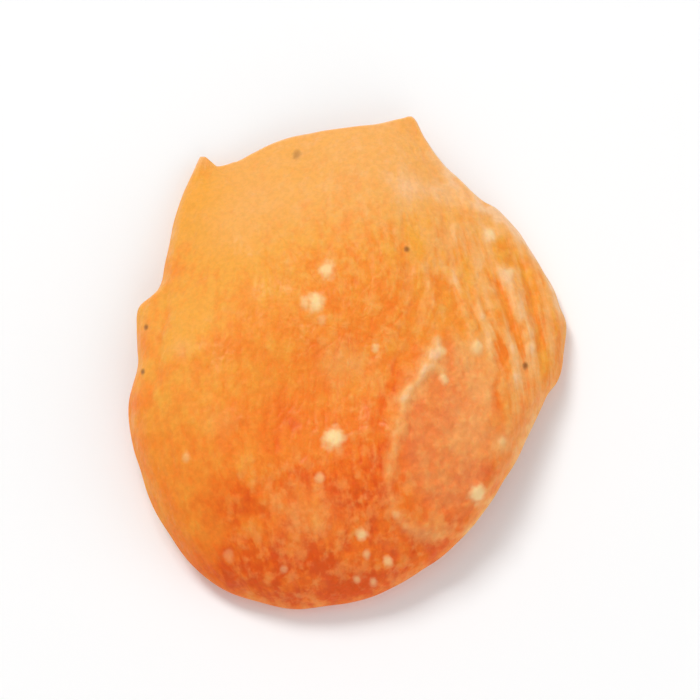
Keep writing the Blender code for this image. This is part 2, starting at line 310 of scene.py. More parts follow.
# Long soft creases over the crown, which don't change its colour.
CREASES = (
    Fold(-0.10, 0.95, ((-7.6, 17.0), (-6.0, 10.0), (-5.2, 4.0), (-5.6, -1.0))),
    Fold(-0.16, 0.90, ((-11.8, 13.6), (-10.8, 6.0), (-11.2, -1.0), (-11.6, -8.0))),
    Fold(-0.10, 0.90, ((-0.4, 16.8), (0.6, 11.0), (-0.4, 5.0), (-1.2, 0.6))),
    Fold(-0.24, 0.90, ((-6.2, -8.0), (-5.4, -12.0), (-4.6, -15.6), (-4.2, -18.6))),
    Fold(-0.24, 0.85, ((0.4, -10.6), (0.6, -14.0), (-0.4, -17.4))),
)

# What the skin has on top of the solid's form: the thin crests and cracks of the pleats, and fine wrinkles.
FINE_FOLDS = (
    Fold(0.10, 0.26, beside(RIM_ROLL_LINE, 0.55), 1.5),
    Fold(-0.14, 0.22, RIM_CRACK, 1.4),
    Fold(-0.06, 0.22, beside(STRIP_VALLEY, 0.05), 1.5),
    Fold(0.07, 0.20, beside(STRIP_VALLEY, 0.45), 1.5),
    Fold(0.08, 0.26, FIRST_PLEAT, 1.5),
    Fold(0.07, 0.22, beside(FIRST_PLEAT, -0.42), 1.5),
    Fold(-0.06, 0.20, FIRST_VALLEY, 1.5),
    Fold(0.08, 0.24, SECOND_PLEAT, 1.5),
    Fold(0.08, 0.18, beside(SECOND_PLEAT, -0.40), 1.5),
    Fold(-0.07, 0.20, beside(SECOND_PLEAT, -0.76), 1.5),
    Fold(0.09, 0.20, THIRD_PLEAT, 1.5),
    Fold(-0.07, 0.20, beside(THIRD_PLEAT, -0.60), 1.5),
    Fold(0.10, 0.22, FOURTH_PLEAT, 1.5),
    Fold(0.08, 0.20, beside(FOURTH_PLEAT, 0.56), 1.5),
    Fold(-0.07, 0.22, beside(FOURTH_PLEAT, -0.50), 1.5),
    Fold(0.08, 0.20, FIFTH_PLEAT, 1.5),
    Fold(0.07, 0.20, beside(FIFTH_PLEAT, -0.66), 1.5),
    Fold(0.06, 0.40, OVAL_LIP),
    Fold(0.06, 0.34, beside(OVAL_BAND, 0.50)),
    Fold(-0.08, 0.26, beside(OVAL_LIP, 0.66), 1.6),
    Fold(-0.07, 0.24, beside(OVAL_LIP, -0.62), 1.6),
    Fold(0.06, 0.24, beside(OVAL_GROOVE, -0.50), 1.6),
    Fold(0.06, 0.24, OVAL_BANK, 1.6),
    Fold(0.05, 0.40, OVAL_FOOT, 1.6),
    Fold(0.10, 0.28, OVAL_STREAK, 1.6),
    Fold(0.08, 0.24, ((8.4, 1.4), (8.7, -0.6), (8.5, -2.8)), 1.6),
    Fold(0.08, 0.24, ((9.1, 1.0), (9.6, -1.4), (9.5, -3.8)), 1.6),
    Fold(0.14, 0.26, ((9.6, 1.6), (10.4, 0.9), (11.2, 0.2)), 1.5),
    Fold(0.10, 0.22, ((10.3, 1.8), (10.4, 0.6), (10.1, -0.6)), 1.5),
    Fold(-0.12, 0.26, INNER_GROOVE, 1.6),
    Fold(0.10, 0.24, ((11.2, 11.4), (11.9, 10.6), (12.9, 10.9)), 1.5),
    Fold(0.12, 0.24, ((12.2, 7.9), (13.2, 7.3), (14.0, 7.9)), 1.5),
    Fold(0.09, 0.24, ((9.2, 14.8), (10.4, 12.8), (11.8, 11.2)), 1.6),
    Fold(-0.08, 0.22, ((8.0, 15.6), (9.0, 14.0), (10.4, 12.6)), 1.5),
    Fold(0.08, 0.24, ((6.8, 15.8), (7.5, 13.6), (8.8, 12.0)), 1.6),
    Fold(0.07, 0.24, ((8.6, 11.9), (8.9, 10.6), (8.7, 9.4)), 1.6),
    Fold(-0.07, 0.22, ((4.4, 13.4), (3.2, 14.6), (1.6, 14.9)), 1.5),
    Fold(-0.07, 0.26, ((5.6, 18.6), (5.2, 15.4), (5.4, 12.2)), 1.6),
    Fold(-0.07, 0.26, ((3.4, 19.0), (3.2, 16.6), (3.6, 13.8)), 1.6),
    Fold(-0.07, 0.26, ((1.0, 19.4), (0.8, 17.4)), 1.6),
    Fold(-0.08, 0.30, ((-13.4, 14.6), (-13.0, 10.0), (-13.6, 6.2)), 1.6),
    Fold(-0.10, 0.24, ((-2.2, -18.4), (0.6, -19.2), (4.0, -18.2)), 1.5),
    Fold(-0.08, 0.24, ((2.2, -14.6), (4.6, -16.2), (7.6, -16.0)), 1.5),
    Fold(-0.10, 0.26, ((-9.0, -6.0), (-8.2, -10.0), (-8.4, -14.0)), 1.5),
    Fold(0.10, 0.26, ((12.4, -8.4), (11.6, -10.8), (10.2, -13.0)), 1.5),
)

# Where the skin is redder, above zero, or more yellow, below zero, than its place from end to end makes it,
# and the most that this comes to.
REDDEST = 0.86
TONE_PATCHES = (
    Patch(1.5, 7.0, 4.6, 0.16),
    Patch(0.0, 3.0, 2.4, 0.10),
    Patch(-5.6, 1.2, 2.6, 0.10),
    Patch(-5.3, -4.6, 1.5, 0.24),
    Patch(-4.2, -6.0, 1.2, 0.10),
    Patch(3.0, -3.0, 2.0, 0.10),
    Patch(-1.0, -9.4, 2.4, 0.14),
    Patch(2.0, -11.0, 2.0, 0.14),
    Patch(8.2, -4.6, 4.0, 0.06),
    Patch(5.4, -4.3, 0.9, 0.20),
    Patch(7.3, -11.8, 1.8, 0.08),
    Patch(11.0, -9.6, 0.9, 0.18),
    Patch(-9.2, -13.2, 1.7, 0.12),
    Patch(-13.0, -12.6, 2.2, -0.14),
    Patch(-2.0, -18.8, 2.2, 0.16),
    Patch(13.0, 9.8, 0.8, 0.20),
    Patch(7.5, 9.6, 1.0, 0.10),
    Patch(10.0, 10.2, 1.2, 0.10),
    Patch(10.6, 14.6, 0.6, 0.12),
    Patch(-17.2, 1.0, 1.3, 0.26),
    Patch(-17.4, -3.6, 1.4, 0.16),
    Patch(-10.0, 8.6, 4.6, -0.20),
    Patch(-14.2, 1.6, 1.8, -0.20),
    Patch(-12.0, 15.4, 2.0, -0.14),
    Patch(-8.6, -9.0, 2.4, -0.10),
    Patch(-7.4, -2.6, 3.6, -0.18),
    Patch(-12.6, -9.6, 3.0, -0.14),
    Patch(-12.2, -15.0, 2.2, -0.22),
    Patch(-11.0, 12.6, 3.6, -0.12),
)
# Lines of tone: most redden and darken the grooves, valleys and the crack as painted shade; the one along the
# strip's valley is yellower.
TONE_LINES = (
    Fold(0.16, 0.90, OVAL_GROOVE),
    Fold(-0.10, 0.55, STRIP_VALLEY),
    Fold(0.06, 0.40, FIRST_VALLEY),
    Fold(0.08, 0.36, beside(SECOND_PLEAT, -0.80)),
    Fold(0.08, 0.36, beside(THIRD_PLEAT, -0.70)),
    Fold(0.10, 0.40, INNER_GROOVE),
    Fold(0.26, 0.26, RIM_CRACK),
    Fold(0.12, 0.50, LEFT_GROOVE),
)
PALE_PATCHES = (
    Patch(-0.8, -0.6, 1.8, 0.36),
    Patch(10.4, 0.8, 0.9, 0.50),
    Patch(5.0, 15.0, 1.6, 0.80),
    Patch(8.2, 14.6, 1.4, 0.60),
    Patch(2.0, 18.6, 3.4, 0.16),
    Patch(-9.0, 12.0, 3.4, 0.26),
    Patch(9.6, -6.6, 2.2, 0.26),
    Patch(12.3, -7.3, 0.8, 0.70),
    Patch(13.5, -2.0, 1.4, 0.34),
    Patch(11.8, 10.8, 0.7, 0.90),
    Patch(13.3, 7.3, 0.8, 0.80),
    Patch(13.0, 9.9, 0.8, -0.60),
    Patch(-3.4, -13.4, 2.8, 0.24),
    Patch(-10.4, -5.6, 1.6, 0.20),
    # A painted highlight: the soft pale glint near the left rim.
    Patch(-13.6, 0.6, 0.9, 0.44),
    Patch(8.8, 10.6, 0.8, 0.30),
    Patch(7.1, 7.6, 0.8, 0.30),
    Patch(5.2, 7.4, 0.7, 0.24),
    Patch(10.8, 8.2, 0.7, 0.26),
    Patch(-12.7, 18.2, 0.8, 0.60),
    Patch(-11.6, 14.6, 2.6, -0.30),
    Patch(6.4, -14.6, 1.2, 0.34),
    Patch(-5.0, 17.2, 2.4, -0.10),
)
# Pale lines: on the oval's band, lip and streak and on the pleats' crests they are partly paler skin and partly
# painted highlight; the lines below zero are painted shade in the valleys, the inner groove and the crack.
PALE_LINES = (
    Fold(0.68, 0.90, OVAL_BAND),
    Fold(0.46, 0.52, OVAL_LIP),
    Fold(0.55, 0.34, OVAL_STREAK),
    Fold(0.22, 0.55, OVAL_FOOT),
    Fold(0.85, 0.80, RIM_BAND),
    Fold(0.60, 0.40, LOWER_RIM),
    Fold(0.62, 0.60, FIRST_PLEAT),
    Fold(0.42, 0.42, SECOND_PLEAT),
    Fold(0.34, 0.38, THIRD_PLEAT),
    Fold(0.34, 0.40, FOURTH_PLEAT),
    Fold(0.30, 0.34, FIFTH_PLEAT),
    Fold(-0.70, 0.50, STRIP_VALLEY),
    Fold(-0.40, 0.34, FIRST_VALLEY),
    Fold(-0.26, 0.34, beside(SECOND_PLEAT, -0.80)),
    Fold(-0.30, 0.40, INNER_GROOVE),
    Fold(-0.30, 0.26, RIM_CRACK),
)

# Cream specks that stand out of the skin, and dark dots. Here reach is how much each one shows, and amount
# is its radius.
SPECKS = (
    Patch(-1.8, 7.4, 0.85, 0.74),
    Patch(-2.7, 4.6, 0.95, 0.76),
    Patch(-3.6, 4.5, 0.6, 0.52),
    Patch(-2.2, 3.1, 0.35, 0.44),
    Patch(-1.2, -6.9, 1.0, 0.96),
    Patch(2.1, 0.8, 0.6, 0.36),
    Patch(-2.35, -10.2, 0.45, 0.42),
    Patch(10.2, -11.6, 0.9, 0.78),
    Patch(1.0, -14.9, 0.8, 0.50),
    Patch(1.4, -16.6, 0.5, 0.38),
    Patch(3.05, -17.2, 0.65, 0.46),
    Patch(0.6, -18.7, 0.5, 0.34),
    Patch(1.9, -19.0, 0.55, 0.38),
    Patch(-5.2, -17.9, 0.35, 0.36),
    Patch(3.6, -13.2, 0.3, 0.36),
    Patch(-9.6, -16.7, 0.22, 0.52),
    Patch(-13.0, -8.6, 0.35, 0.40),
    Patch(7.5, 0.5, 0.6, 0.40),
    Patch(7.6, -1.7, 0.6, 0.42),
    Patch(10.4, 0.8, 0.6, 0.60),
    Patch(12.3, -7.2, 0.35, 0.40),
    Patch(11.8, 10.9, 0.6, 0.54),
    Patch(13.4, 7.4, 0.4, 0.50),
)
DOTS = (
    Patch(4.7, 9.3, 0.8, 0.28),
    Patch(14.4, -0.7, 0.8, 0.30),
    Patch(-16.8, 2.5, 0.8, 0.26),
    Patch(-16.9, -1.4, 0.8, 0.24),
    Patch(-4.5, 18.2, 0.45, 0.44),
)
SPECK_RISE = 0.20
SPECK_LENGTH = 1.25

# The folds waver from their lines by this much over this reach. Two noises (amount, reach) make them come and
# go within these bounds.
WAVER = (0.40, 2.4)
FOLD_CHANGES = ((1.0, 1.9), (0.9, 0.8))
FOLD_STRENGTH = (0.1, 1.8)

# Fine relief: creases along the grain, bumps, pores, and the edges of wide and of fine cells.
LONG_CREASES = Relief(-0.03, -0.08, -0.05, 0.0, 1.9, 8.0, 0.10)
SHORT_CREASES = Relief(-0.02, -0.05, -0.04, 0.0, 1.1, 2.6, 0.13)
BUMPS = Relief(0.050, 0.03, 0.06, 0.04, 1.15, 1.15)
PORES = Relief(0.026, 0.02, 0.026, 0.050, 0.48, 0.62)
WIDE_CELLS = Relief(-0.045, -0.03, -0.045, 0.0, 0.95, 1.4, 0.15)
FINE_CELLS = Relief(-0.018, 0.0, -0.02, -0.03, 0.45, 0.55, 0.20)
# Where it is stronger, how much shallower the long creases are in the oval, how far in from the rim it is full,
# how far the creases wander and the cells are warped (amount, reach), and the height that counts as a crest.
RIGHT_SIDE = Zone(((1, 0, 1, 9),))
LOW_SIDE = Zone(((0, -1, 4, 15),))
OVAL_ROUGH = (0.7, 1.05)
OVAL_CALM = 0.7
WRINKLE_FADE = 0.7
WANDER = (0.5, 2.2)
CELL_WARP = (0.25, 1.3)
CREST_HEIGHT = 0.08

# The tone in the middle, its fall for each millimetre towards the stem end, and what the tip and the left add.
# The redder, darker blossom end, the tip most of all, is partly painted shade.
TONE_MIDDLE = 0.30
TONE_FALL = 0.026
TIP_TONE = 0.15
LEFT_TONE = -0.24
BLOSSOM_TIP = Zone(((0, -1, 16.5, 20.5),))
LEFT_EDGE = Zone(((-1, 0, 9.0, 13.5), (0, -1, -8, -4), (0, 1, -18, -14)))
# How pale the rim is, (amount, half width), plain and where it is torn, then the torn end, the right, and the
# crests of the fine folds, whose paleness is a painted highlight.
RIM_PALE = (0.20, 0.5)
TORN_PALE = (0.30, 1.0)
END_PALE = 0.46
RIGHT_PALE = 0.26
FOLD_HIGHLIGHT = (0.30, 0.15)
TORN_END = Zone(((0, 1, 7.5, 16.0),))
TORN_CORNER = Zone(((-1, 0, 10.5, 13.5),))
RIGHT_FLANK = Zone(((1, 0, 6.5, 12.5), (0, 1, -12, -4), (0, -1, -17, -12)))
# Where the skin is spotted, pleated and grainy, and where the dull skin of the oval and the cut side begin.
SPOTTED = Zone(((0, -1, 4, 11), (1, 0, -13, -7)))
PLEATED = Zone(((1, 0.3, 3, 10), (0, 1, -9, -1), (0, -1, -15, -9)))
GRAINY = Zone(((1, 0.25, -9, 2),))
OVAL_DULL = (0.60, 1.05)
OVAL_LEFT = Zone(((-1, 0, -13.0, -9.5),))
CUT_START = (0.2, 1.6)

# The mesh: meridians, rings from the rim to the middle of each side, the share of the way out that turns
# round the rim, and the mean distance out to it.
SEGMENTS = 460
SKIN_RINGS = 142
FLESH_RINGS = 65
RIM_SHARE = 0.08
MEAN_RADIUS = 18


def smooth_step(values: Array, low: float, high: float) -> Array:
    """Args: values; low, high: where the rise starts and ends. Returns: 0 below low, 1 above high."""
    share = np.clip((values - low) / (high - low), 0, 1)
    return share * share * (3 - 2 * share)


def bell(values: Array, width: float) -> Array:
    """Args: values: distances; width: half width. Returns: 1 at zero, falling smoothly to 0."""
    return np.exp(-((values / width) ** 2))


def noise_at(x: Array, y: Array, z: float = 0.0) -> Array:
    """Args: x, y: places in units of the noise's own grain; z: which noise. Returns: values from -1 to 1."""
    return np.array([noise.noise(Vector((a, b, z))) for a, b in zip(x, y)])


def crease_at(x: Array, y: Array, z: float, width: float) -> Array:
    """Args: as noise_at; width: half width of a crease. Returns: 1 along wandering thin lines, 0 off them."""
    return bell(noise_at(x, y, z), width)


def cell_edges(x: Array, y: Array, width: float) -> Array:
    """Args: x, y: places in cells; width: of an edge. Returns: 1 along the cells' edges, 0 in them."""
    gaps = []
    for a, b in zip(x, y):
        distances = noise.voronoi(Vector((a, b, 0.5)))[0]
        gaps.append(distances[1] - distances[0])
    return bell(np.array(gaps), width)


def from_line(x: Array, y: Array, line: Sequence[tuple[float, float]]) -> tuple[Array, Array]:
    """Args: x, y: places; line: its points. Returns: distance from it, and share of its length passed."""
    points = np.array(line)
    lengths = np.hypot(*np.diff(points, axis=0).T)
    before = np.concatenate(([0], np.cumsum(lengths)))
    distance = np.full_like(x, np.inf)
    along = np.zeros_like(x)
    for start, end, length, passed in zip(points, points[1:], lengths, before):
        step = (end - start) / length
        reach = np.clip((x - start[0]) * step[0] + (y - start[1]) * step[1], 0, length)
        away = np.hypot(x - start[0] - reach * step[0], y - start[1] - reach * step[1])
        along = np.where(away < distance, (passed + reach) / before[-1], along)
        distance = np.minimum(distance, away)
    return distance, along


def around(angles: Array, keys: Sequence[tuple[float, float]]) -> Array:
    """Args: angles; keys: (degrees, value) in order. Returns: values that pass smoothly from key to key."""
    degrees = np.degrees(angles) % 360
    starts = np.array([key[0] for key in keys])
    values = np.array([key[1] for key in keys])
    spans = (np.roll(starts, -1) - starts) % 360
    place = (np.searchsorted(starts, degrees, side="right") - 1) % len(keys)
    share = ((degrees - starts[place]) % 360) / spans[place]
    return values[place] + (np.roll(values, -1)[place] - values[place]) * smooth_step(share, 0, 1)


def soft_radius(angles: Array) -> Array:
    """Args: angles. Returns: distance to the outline with its corners smoothed away."""
    reach, step, width = SOFT_TURN
    turns = np.arange(-reach, reach + step, step)
    weights = bell(turns, width)
    radii = (weight * outline_radius(angles + turn) for weight, turn in zip(weights, np.radians(turns)))
    return sum(radii) / weights.sum()


def outline_radius(angles: Array) -> Array:
    """Args: angles. Returns: distance to the outline, on a smooth closed curve through OUTLINE."""
    points = np.array(OUTLINE)
    before, after, beyond = (np.roll(points, shift, axis=0) for shift in (1, -1, -2))
    curve = []
    for share in np.arange(SPAN_STEPS) / SPAN_STEPS:
        curve.append(
            points
            + 0.5 * share * (after - before)
            + share**2 * (before - 2.5 * points + 2 * after - 0.5 * beyond)
            + share**3 * (1.5 * (points - after) + 0.5 * (beyond - before))
        )
    path = np.stack(curve, axis=1).reshape(-1, 2)
    turns = np.arctan2(path[:, 1], path[:, 0])
    order = np.argsort(turns)
    return np.interp(angles, turns[order], np.hypot(*path[order].T), period=2 * math.pi)


def rounded(inward: Array, width: Array) -> Array:
    """Args: inward: from the rim; width. Returns: 0 at the rim, rising as a quarter circle to 1 at width."""
    return np.sqrt(np.clip(1 - (1 - np.minimum(inward, width) / width) ** 2, 0, 1))


@dataclass
class Surface:
    """The places of the mesh's points on the fruit, and what the form works out for each of them.

    Attributes:
        angles: direction from the middle.
        share: 0 in the middle and 1 at the rim.
        on_skin: whether the point is on the skin.
        past_rim: millimetres from the rim along the surface, below zero on the skin.
    """

    angles: Array
    share: Array
    on_skin: Array
    past_rim: Array

    @classmethod
    def from_ball(cls, ball: Array) -> Surface:
        """Args: ball: points of a unit sphere of SKIN_RINGS + FLESH_RINGS rings. Returns: their surface."""
        rings = SKIN_RINGS + FLESH_RINGS
        ring = np.round(np.arccos(np.clip(ball[:, 2], -1, 1)) / math.pi * rings)
        on_skin = ring <= SKIN_RINGS
        passed = np.where(on_skin, ring / SKIN_RINGS, (rings - ring) / FLESH_RINGS)
        whole = 1 - RIM_SHARE + RIM_SHARE * math.pi / 2
        along = passed * whole
        turn = np.clip((along - (1 - RIM_SHARE)) / RIM_SHARE, 0, math.pi / 2)
        share = np.where(along < 1 - RIM_SHARE, along, 1 - RIM_SHARE + RIM_SHARE * np.sin(turn))
        share = np.where(passed >= 1, 1.0, share)
        from_rim = (whole - along) * MEAN_RADIUS
        past_rim = np.where(on_skin, -from_rim, from_rim)
        return cls(np.arctan2(ball[:, 1], ball[:, 0]), share, on_skin, past_rim)

    def __post_init__(self) -> None:
        """Works out the places, the plain form, the folds and the wrinkles."""
        outline = outline_radius(self.angles)
        height, grain = CRIMP
        uneven = height * noise_at(np.cos(self.angles) * grain, np.sin(self.angles) * grain, 21.0)
        for rise, place, width in (EDGE_LIP, EDGE_GROOVE):
            uneven += rise * bell(self.past_rim - place, width)
        self.radius = outline + uneven * smooth_step(self.share, 0.8, 1.0)
        self.x = self.share * self.radius * np.cos(self.angles)
        self.y = self.share * self.radius * np.sin(self.angles)
        self.inward = outline * (1 - self.share)
        self.plain_skin, self.plain_flesh = self._plain_heights()
        self.seen_y = self.y + VIEW_SLANT * (self.plain_skin - RIM_LEVEL)
        oval_x, oval_y = self.x - OVAL_CENTRE[0], self.seen_y - OVAL_CENTRE[1]
        self.oval_reach = np.hypot(oval_x / OVAL_HALF[0], oval_y / OVAL_HALF[1])
        self.flow = self._flow()
        self._lay_folds()
        self.wrinkles = self._wrinkles()

    def _plain_heights(self) -> tuple[Array, Array]:
        """Returns: heights of the skin and of the cut side with no relief on them."""
        outward = smooth_step(self.share, *OUTWARD)
        lift = around(self.angles, RIM_LIFT) * outward
        half = MIDDLE_HALF + (around(self.angles, RIM_HALF) - MIDDLE_HALF) * outward
        edge = np.minimum(around(self.angles, RIM_EDGE), half)
        fullness = DOME_FULLNESS + (around(self.angles, RIM_FULLNESS) - DOME_FULLNESS) * outward
        plain = 1 / np.hypot(np.cos(self.angles) / PLAIN_HALF[0], np.sin(self.angles) / PLAIN_HALF[1])
        soft = soft_radius(self.angles)
        reach = np.minimum(self.share * self.radius / (soft * outward + plain * (1 - outward)), 1)
        dome = DOME_RISE * (1 - reach**fullness)
        plump = FLESH * smooth_step(1 - reach, *PLUMP)
        roll_place, roll_width, roll_depth = RIM_ROLL
        roll = roll_depth * bell(self.inward - roll_place, roll_width)
        skin = lift + half * (1 + rounded(self.inward, edge)) + dome
        flesh = lift + half * (1 - rounded(self.inward, half)) + dome - plump - roll
        return skin, flesh

    def _lay_folds(self) -> None:
        """Works out the folds, which waver a little from their lines and come and go along them."""
        x, y = self.x, self.seen_y
        amount, reach = WAVER
        waver_x = x + amount * noise_at(x / reach, y / reach, 5.0)
        waver_y = y + amount * noise_at(x / reach, y / reach, 15.0)
        strength = 1
        for (change, grain), layer in zip(FOLD_CHANGES, (25.0, 27.0)):
            strength = strength + change * noise_at(x / grain, y / grain, layer)
        strength = np.clip(strength, *FOLD_STRENGTH)

        def laid(folds: Sequence[Fold]) -> Array:
            """Args: folds. Returns: their heights together."""
            return sum(fold.at(waver_x, waver_y) for fold in folds)

        self.folds = laid(FOLDS)
        self.fine_folds = laid(FINE_FOLDS) * strength
        self.creases = laid(CREASES)
        self.pale_lines = laid(PALE_LINES) * strength
        self.tone_lines = laid(TONE_LINES) * strength

    def _flow(self) -> Array:
        """Returns: millimetres across the grain, which runs from end to end and parts round the oval."""
        narrowing = np.sqrt(np.clip(1 - (self.seen_y / GRAIN_HALF_LENGTH) ** 2, 0.2, 1))
        across = self.x / narrowing
        oval = OVAL_CENTRE[0] / math.sqrt(1 - (OVAL_CENTRE[1] / GRAIN_HALF_LENGTH) ** 2)
        outside = np.maximum(self.oval_reach, 1)
        share, reach = GRAIN_PARTING
        return oval + (across - oval) * (1 - share * bell(outside - 1, reach) / outside**2)

    def heights(self) -> Array:
        """Returns: height of each point."""
        edge = smooth_step(self.inward, 0.0, RELIEF_FADE)
        skin = self.plain_skin + edge * self.skin_relief() + self.wrinkles + self.specks()
        flesh = self.plain_flesh + edge * self.flesh_relief()
        return np.where(self.on_skin, skin, flesh)

    def skin_relief(self) -> Array:
        """Returns: the swells, the oval and the folds over the plain dome."""
        x, y = self.x, self.seen_y
        ripple, across, along = RIPPLE
        height = ripple * noise_at(x / across, y / along, 7.0)
        height += sum(swell.at(x, y) for swell in SWELLS)
        sunk = (1 - smooth_step(self.oval_reach, *OVAL_SIDE)) * (1 - smooth_step(x, *OVAL_FADE))
        height -= OVAL_DEPTH * sunk
        return height + self.folds + self.fine_folds + self.creases

    def _wrinkles(self) -> Array:
        """Returns: wrinkles along the grain and small bumps."""
        x, y, flow = self.x, self.seen_y, self.flow
        oval = 1 - smooth_step(self.oval_reach, *OVAL_ROUGH)
        zones = RIGHT_SIDE.at(x, y), LOW_SIDE.at(x, y), oval
        amount, reach = WANDER
        wandering = flow + amount * noise_at(x / reach, y / reach, 31.0)
        amount, reach = CELL_WARP
        warp = amount * noise_at(x / reach, y / reach, 83.0)

        relief = LONG_CREASES
        creases = crease_at(wandering / relief.across, y / relief.along, 41.0, relief.width)
        height = relief.height(*zones) * creases * (1 - OVAL_CALM * oval)
        relief = SHORT_CREASES
        creases = crease_at(wandering / relief.across, y / relief.along, 43.0, relief.width)
        height += relief.height(*zones) * creases
        for relief, layer in ((BUMPS, 47.0), (PORES, 53.0)):
            height += relief.height(*zones) * noise_at(x / relief.across, y / relief.along, layer)
        for relief, along_warp in ((WIDE_CELLS, -warp), (FINE_CELLS, 0)):
            cell_x, cell_y = x / relief.across + warp, y / relief.along + along_warp
            height += relief.height(*zones) * cell_edges(cell_x, cell_y, relief.width)
        return height * smooth_step(self.inward, 0.0, WRINKLE_FADE)

    def specks(self) -> Array:
        """Returns: the specks' height over the skin."""
        height = np.zeros_like(self.x)
        for speck in SPECKS:
            away = np.hypot(self.x - speck.x, (self.seen_y - speck.y) / SPECK_LENGTH) / speck.amount
            height += SPECK_RISE * np.sqrt(speck.amount) * (1 - smooth_step(away, 0.1, 1.15))
        return height

    def flesh_relief(self) -> Array:
        """Returns: the stone's print, its lip and the folds round it, counted up into the flesh."""
        x, y = self.x, self.y
        reach = np.hypot((x - HOLLOW_CENTRE[0]) / HOLLOW_HALF[0], (y - HOLLOW_CENTRE[1]) / HOLLOW_HALF[1])
        hollow = STONE_HOLLOW * (1 - smooth_step(reach, *HOLLOW_SIDE))
        lip_place, lip_width, lip_height = HOLLOW_LIP
        lip = lip_height * bell(reach - lip_place, lip_width)
        sway, sway_reach = FLESH_FOLD_SWAY
        swayed = FLESH_FOLDS * self.angles + sway * noise_at(x / sway_reach, y / sway_reach, 11.0)
        folded = smooth_step(self.share, *FLESH_FOLD_START) * (1 - smooth_step(self.share, *FLESH_FOLD_END))
        fibres = noise_at(np.cos(self.angles) * 11, np.sin(self.angles) * 11, 61.0)
        rough = noise_at(x / 0.9, y / 0.9, 67.0)
        fine = 0.22 * fibres * smooth_step(self.share, 0.25, 0.6) + 0.10 * rough
        seam_depth, seam_width = HOLLOW_SEAM
        seam = seam_depth * bell(x - HOLLOW_CENTRE[0] - 0.5 * noise_at(y / 4, y * 0, 71.0), seam_width)
        seam = seam * np.maximum(1 - reach / SEAM_REACH, 0)
        return hollow - lip - seam + FLESH_FOLD_HEIGHT * np.cos(swayed) * folded + fine

    def fields(self) -> dict[Field, Array]:
        """Returns: the values that the material reads."""
        x, y = self.x, self.seen_y
        skin = self.on_skin.astype(float)
        tone = TONE_MIDDLE - TONE_FALL * y
        # The tip's extra red darkens the blossom end, partly painted shade.
        tone += TIP_TONE * BLOSSOM_TIP.at(x, y) + LEFT_TONE * LEFT_EDGE.at(x, y)
        # The tone lines darken the grooves, valleys and the crack with painted shade.
        tone += sum(patch.at(x, y) for patch in TONE_PATCHES) + self.tone_lines

        amount, width = RIM_PALE
        pale = amount * bell(self.past_rim, width)
        amount, width = TORN_PALE
        pale += amount * around(self.angles, RIM_TORN) * bell(self.past_rim, width)
        pale += END_PALE * TORN_END.at(x, y) * (1 - 0.7 * TORN_CORNER.at(x, y))
        pale += RIGHT_PALE * RIGHT_FLANK.at(x, y)
        # The fine folds' crests get a painted highlight.
        amount, crest = FOLD_HIGHLIGHT
        pale += amount * np.clip(self.fine_folds / crest, 0, 1)
        # The pale lines are partly painted highlight on the crests and lip, and painted shade in the valleys
        # and the crack.
        pale += sum(patch.at(x, y) for patch in PALE_PATCHES) + self.pale_lines

        spotted = SPOTTED.at(x, y)
        oval = (1 - smooth_step(self.oval_reach, *OVAL_DULL)) * OVAL_LEFT.at(x, y)
        return {
            Field.TONE: np.minimum(tone, REDDEST),
            Field.PALE: pale * skin,
            Field.OVAL: oval * skin,
            Field.CUT: smooth_step(self.past_rim, *CUT_START),
            Field.FLOW: self.flow,
            Field.CREST: np.clip(self.wrinkles / CREST_HEIGHT, -1, 1) * skin,
            Field.GRAINY: np.maximum(0.3 + 0.7 * GRAINY.at(x, y), spotted),
            Field.SPOTTED: spotted,
            Field.STREAKED: PLEATED.at(x, y),
            Field.ACROSS: x,
            Field.ALONG: y,
        }


def settled(places: Array) -> Array:
    """Stands the fruit level on its three low points, each pressed flat.

    Args:
        places: points in millimetres.

    Returns:
        The points, with the box's middle on the origin and the lowest of them at zero.
    """
    turns = np.degrees(np.arctan2(places[:, 1], places[:, 0]))
    lowest = []
    for foot in FEET:
        near = places[np.abs((turns - foot + 180) % 360 - 180) < FOOT_REACH]
        lowest.append(near[np.argmin(near[:, 2])])
    feet = np.array(lowest)
    slope_x, slope_y, level = np.linalg.solve(np.column_stack((feet[:, :2], np.ones(3))), feet[:, 2])
    places[:, 2] -= slope_x * places[:, 0] + slope_y * places[:, 1] + level + FOOT_PRESS
    places[:, 2] = np.maximum(places[:, 2], 0)
    places[:, :2] -= (places.min(axis=0) + places.max(axis=0))[:2] / 2
    return places


